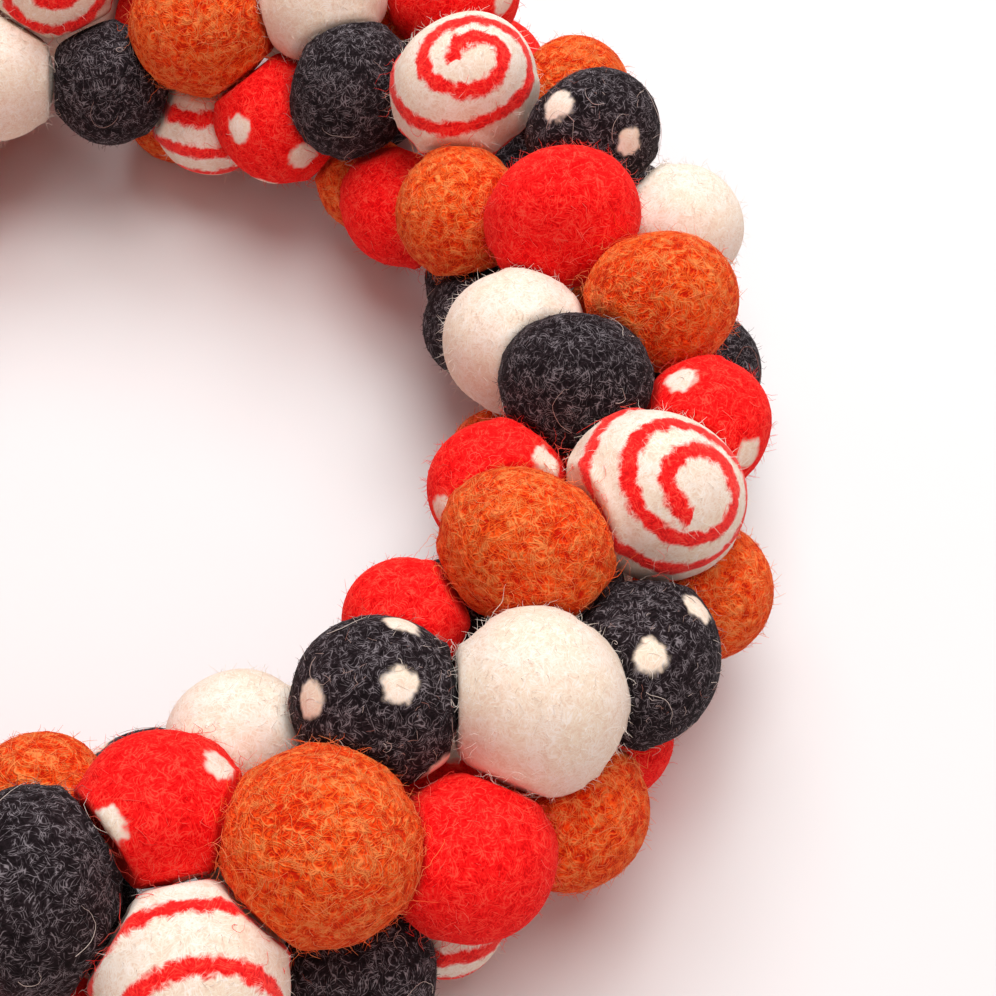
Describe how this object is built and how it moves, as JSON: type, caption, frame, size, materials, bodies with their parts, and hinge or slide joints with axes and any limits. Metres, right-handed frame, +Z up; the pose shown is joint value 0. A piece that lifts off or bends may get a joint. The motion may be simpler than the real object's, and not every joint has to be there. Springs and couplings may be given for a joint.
{
  "type": "felt pom pom wreath",
  "caption": "Round wreath of wet-felted wool balls packed around a ring, in plain, dotted and spiral felts, lying flat.",
  "frame": {"origin": "middle of the bounding box's bottom face, on the surface that the wreath lies on", "axes": "+Z up through the wreath's hole; +X towards the side that the picture shows at its right, +Y towards its far side"},
  "size_m": [0.3242, 0.329, 0.0831],
  "materials": {
    "felt_black": "matted wool felt, dense, with grey flecks",
    "felt_black_dotted": "matted wool felt, black, with needled white dots",
    "felt_mixed": "matted wool felt balls of all the wreath's colours, joined in one solid",
    "felt_orange": "matted wool felt, coarse and loose, with rust depths",
    "felt_red": "matted wool felt, smooth bright red",
    "felt_red_dotted": "matted wool felt, bright red, with needled white dots",
    "felt_swirl": "matted wool felt, cream, with a needled red spiral stripe",
    "felt_white": "matted wool felt, smooth cream"
  },
  "bodies": {
    "root": {"ball_01_black": "felt_black", "ball_02_orange": "felt_orange", "ball_03_swirl": "felt_swirl", "ball_04_red_dotted": "felt_red_dotted", "ball_05_black": "felt_black", "ball_06_orange": "felt_orange", "ball_07_white": "felt_white", "ball_08_red": "felt_red", "ball_09_black_dotted": "felt_black_dotted", "ball_10_orange": "felt_orange", "ball_11_orange": "felt_orange", "ball_12_white": "felt_white", "ball_13_red": "felt_red", "ball_14_black_dotted": "felt_black_dotted", "ball_15_orange": "felt_orange", "ball_16_black": "felt_black", "ball_17_orange": "felt_orange", "ball_18_swirl": "felt_swirl", "ball_19_red_dotted": "felt_red_dotted", "ball_20_red_dotted": "felt_red_dotted", "ball_21_black": "felt_black", "ball_22_orange": "felt_orange", "ball_23_black": "felt_black", "ball_24_orange": "felt_orange", "ball_25_white": "felt_white", "ball_26_white": "felt_white", "ball_27_red": "felt_red", "ball_28_black": "felt_black", "ball_29_black": "felt_black", "ball_30_black_dotted": "felt_black_dotted", "ball_31_orange": "felt_orange", "ball_32_orange": "felt_orange", "ball_33_swirl": "felt_swirl", "ball_34_red": "felt_red", "ball_35_red_dotted": "felt_red_dotted", "ball_36_black": "felt_black", "ball_37_white": "felt_white", "ball_38_red_dotted": "felt_red_dotted", "ball_39_orange": "felt_orange", "ball_40_swirl": "felt_swirl", "ball_41_black": "felt_black", "ball_42_white": "felt_white", "ball_43_red": "felt_red", "balls_44_joined": "felt_mixed", "ball_45_swirl": "felt_swirl", "balls_46_joined": "felt_mixed", "balls_47_joined": "felt_mixed", "ball_48_black": "felt_black", "balls_49_joined": "felt_mixed", "ball_50_orange": "felt_orange", "balls_51_joined": "felt_mixed", "balls_52_joined": "felt_mixed", "balls_53_joined": "felt_mixed", "balls_54_joined": "felt_mixed", "balls_55_joined": "felt_mixed", "balls_56_joined": "felt_mixed", "balls_57_joined": "felt_mixed", "balls_58_joined": "felt_mixed", "balls_59_joined": "felt_mixed"}
  },
  "joints": []
}
